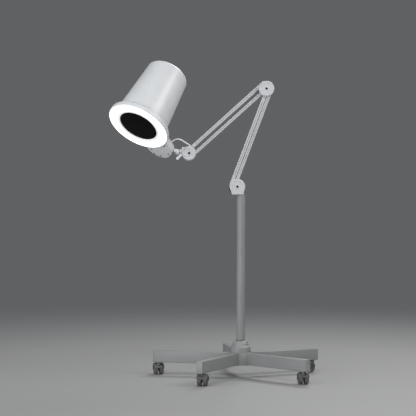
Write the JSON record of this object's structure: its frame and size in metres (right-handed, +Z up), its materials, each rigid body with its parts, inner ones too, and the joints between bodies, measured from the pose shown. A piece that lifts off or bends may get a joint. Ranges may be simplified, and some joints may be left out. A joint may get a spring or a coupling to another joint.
{
  "type": "surgical light",
  "caption": "Mobile examination light: tapered head with a glowing ring, spring-balanced parallelogram arm with round knuckles, upright pole and five-legged castor base.",
  "frame": {"origin": "on the floor, at the middle of the object's footprint", "axes": "+Z up, +X to the right along the arm's plane, +Y away from the side that the glowing face turns to"},
  "size_m": [0.8484, 0.6881, 1.262],
  "materials": {
    "white_paint": "satin white",
    "bar_paint": "white powder coat",
    "bracket_paint": "white powder coat",
    "stand_paint": "mid grey powder coat",
    "hub_iron": "mid grey powder coat",
    "grey_plastic": "moulded, fine grain",
    "black_plastic": "moulded, fine grain",
    "castor_tread": "matte",
    "castor_grey": "moulded, fine grain",
    "steel": "zinc plated",
    "spring_steel": "oiled",
    "rim_grey": "satin grey",
    "window_black": "dark tinted, polished",
    "glow": "opal, lit",
    "board": "circuit board",
    "aluminium_bare": "bead blasted",
    "cable_white": "flexible sheath"
  },
  "bodies": {
    "base": {"hub": "hub_iron", "hub_cover": "grey_plastic", "pole": "stand_paint", "pole_bush": "black_plastic", "leg_1": "stand_paint", "leg_2": "stand_paint", "leg_3": "stand_paint", "leg_4": "stand_paint", "leg_5": "stand_paint", "leg_cap_1": "grey_plastic", "leg_cap_2": "grey_plastic", "leg_cap_3": "grey_plastic", "leg_cap_4": "grey_plastic", "leg_cap_5": "grey_plastic"},
    "castor_1": {"castor_hood_1": "castor_grey"},
    "castor_1_wheels": {"castor_wheels_1": "castor_tread"},
    "castor_2": {"castor_hood_2": "castor_grey"},
    "castor_2_wheels": {"castor_wheels_2": "castor_tread"},
    "castor_3": {"castor_hood_3": "castor_grey"},
    "castor_3_wheels": {"castor_wheels_3": "castor_tread"},
    "castor_4": {"castor_hood_4": "castor_grey"},
    "castor_4_wheels": {"castor_wheels_4": "castor_tread"},
    "castor_5": {"castor_hood_5": "castor_grey"},
    "castor_5_wheels": {"castor_wheels_5": "castor_tread"},
    "arm_mount": {"base_bracket": "bracket_paint", "base_cover_front": "white_paint", "base_cover_rear": "white_paint", "base_cover_screw": "steel"},
    "lower_arm": {"lower_main_bar": "bar_paint", "lower_spring": "spring_steel"},
    "lower_link": {"lower_link_bar": "bar_paint"},
    "elbow": {"elbow_bracket": "bracket_paint", "elbow_cover_front": "white_paint", "elbow_cover_rear": "white_paint", "elbow_pivot_bolt": "steel"},
    "upper_arm": {"upper_main_bar": "bar_paint", "upper_spring": "spring_steel"},
    "upper_link": {"upper_link_bar": "bar_paint"},
    "head_knuckle": {"head_bracket": "bracket_paint", "head_cover_front": "white_paint", "head_cover_rear": "white_paint", "head_cover_screw": "steel"},
    "clamp_lever": {"clamp_lever": "bracket_paint"},
    "yoke": {"yoke_fork": "bracket_paint", "swing_bolt": "steel", "lead_wire": "cable_white"},
    "head": {"lamp_shell": "white_paint", "front_housing": "white_paint", "lug_cover": "white_paint", "cable_gland": "cable_white", "diffuser_ring": "glow", "led_board": "board", "heat_sink": "aluminium_bare", "bezel": "rim_grey", "window": "window_black", "lens_barrel": "black_plastic", "lamp_module": "aluminium_bare", "driver_unit": "board"},
    "power_button": {"power_button": "black_plastic"}
  },
  "joints": [
    {"name": "castor_1_swivel", "type": "hinge", "parent": "base", "child": "castor_1", "pos_m": [-0.22732, 0.03118, 0.05], "axis": [0, 0, 1], "continuous": true},
    {"name": "castor_1_roll", "type": "hinge", "parent": "castor_1", "child": "castor_1_wheels", "pos_m": [-0.22923, 0.04201, 0.022], "axis": [0.9848, 0.1736, 0], "continuous": true},
    {"name": "castor_2_swivel", "type": "hinge", "parent": "base", "child": "castor_2", "pos_m": [-0.05103, -0.31782, 0.05], "axis": [0, 0, 1], "continuous": true},
    {"name": "castor_2_roll", "type": "hinge", "parent": "castor_2", "child": "castor_2_wheels", "pos_m": [-0.0495, -0.30693, 0.022], "axis": [0.9903, -0.1392, 0], "continuous": true},
    {"name": "castor_3_swivel", "type": "hinge", "parent": "base", "child": "castor_3", "pos_m": [0.33536, -0.258, 0.05], "axis": [0, 0, 1], "continuous": true},
    {"name": "castor_3_roll", "type": "hinge", "parent": "castor_3", "child": "castor_3_wheels", "pos_m": [0.33421, -0.24706, 0.022], "axis": [0.9945, 0.1045, 0], "continuous": true},
    {"name": "castor_4_swivel", "type": "hinge", "parent": "base", "child": "castor_4", "pos_m": [0.39787, 0.12796, 0.05], "axis": [0, 0, 1], "continuous": true},
    {"name": "castor_4_roll", "type": "hinge", "parent": "castor_4", "child": "castor_4_wheels", "pos_m": [0.38692, 0.127, 0.022], "axis": [-0.0872, 0.9962, 0], "continuous": true},
    {"name": "castor_5_swivel", "type": "hinge", "parent": "base", "child": "castor_5", "pos_m": [0.05012, 0.30668, 0.05], "axis": [0, 0, 1], "continuous": true},
    {"name": "castor_5_roll", "type": "hinge", "parent": "castor_5", "child": "castor_5_wheels", "pos_m": [0.05108, 0.31764, 0.022], "axis": [0.9962, -0.0872, 0], "continuous": true},
    {"name": "arm_swivel", "type": "hinge", "parent": "base", "child": "arm_mount", "pos_m": [0.101, -0.022, 0.72], "axis": [0, 0, 1], "range_deg": [-170, 170]},
    {"name": "lower_arm_lean", "type": "hinge", "parent": "arm_mount", "child": "lower_arm", "pos_m": [0.0622, -0.022, 0.7692], "axis": [0, -1, 0], "range_deg": [0, 55]},
    {"name": "lower_link_turn", "type": "hinge", "parent": "arm_mount", "child": "lower_link", "pos_m": [0.0832, -0.022, 0.7801], "axis": [0, -1, 0], "range_deg": [0, 55]},
    {"name": "elbow_level", "type": "hinge", "parent": "lower_arm", "child": "elbow", "pos_m": [0.19696, -0.022, 1.12963], "axis": [0, -1, 0], "range_deg": [-55, 0]},
    {"name": "upper_arm_raise", "type": "hinge", "parent": "elbow", "child": "upper_arm", "pos_m": [0.1893, -0.022, 1.174], "axis": [0, 1, 0], "range_deg": [-3, 62]},
    {"name": "upper_link_turn", "type": "hinge", "parent": "elbow", "child": "upper_link", "pos_m": [0.2006, -0.022, 1.1496], "axis": [0, 1, 0], "range_deg": [-3, 62]},
    {"name": "head_level", "type": "hinge", "parent": "upper_arm", "child": "head_knuckle", "pos_m": [-0.10702, -0.022, 0.90531], "axis": [0, 1, 0], "range_deg": [-62, 3]},
    {"name": "clamp_lever_turn", "type": "hinge", "parent": "head_knuckle", "child": "clamp_lever", "pos_m": [-0.1403, -0.022, 0.8843], "axis": [0, -1, 0], "range_deg": [-15, 40]},
    {"name": "head_roll", "type": "hinge", "parent": "head_knuckle", "child": "yoke", "pos_m": [-0.162, -0.022, 0.899], "axis": [1, 0, 0], "range_deg": [-40, 50], "deforming": ["lead_wire"]},
    {"name": "head_swing", "type": "hinge", "parent": "yoke", "child": "head", "pos_m": [-0.162, -0.022, 0.899], "axis": [0.3989, 0.4809, 0.7808], "range_deg": [-45, 45], "deforming": ["lead_wire"]},
    {"name": "power_button_press", "type": "slide", "parent": "head", "child": "power_button", "axis": [-0.3989, -0.4809, -0.7808], "range_m": [0, 0.0015], "stiffness_N_per_m": 400}
  ],
  "couplings": [
    {"joint": "lower_link_turn", "follows": "lower_arm_lean", "ratio": 1},
    {"joint": "elbow_level", "follows": "lower_arm_lean", "ratio": -1},
    {"joint": "upper_link_turn", "follows": "upper_arm_raise", "ratio": 1},
    {"joint": "head_level", "follows": "upper_arm_raise", "ratio": -1}
  ]
}
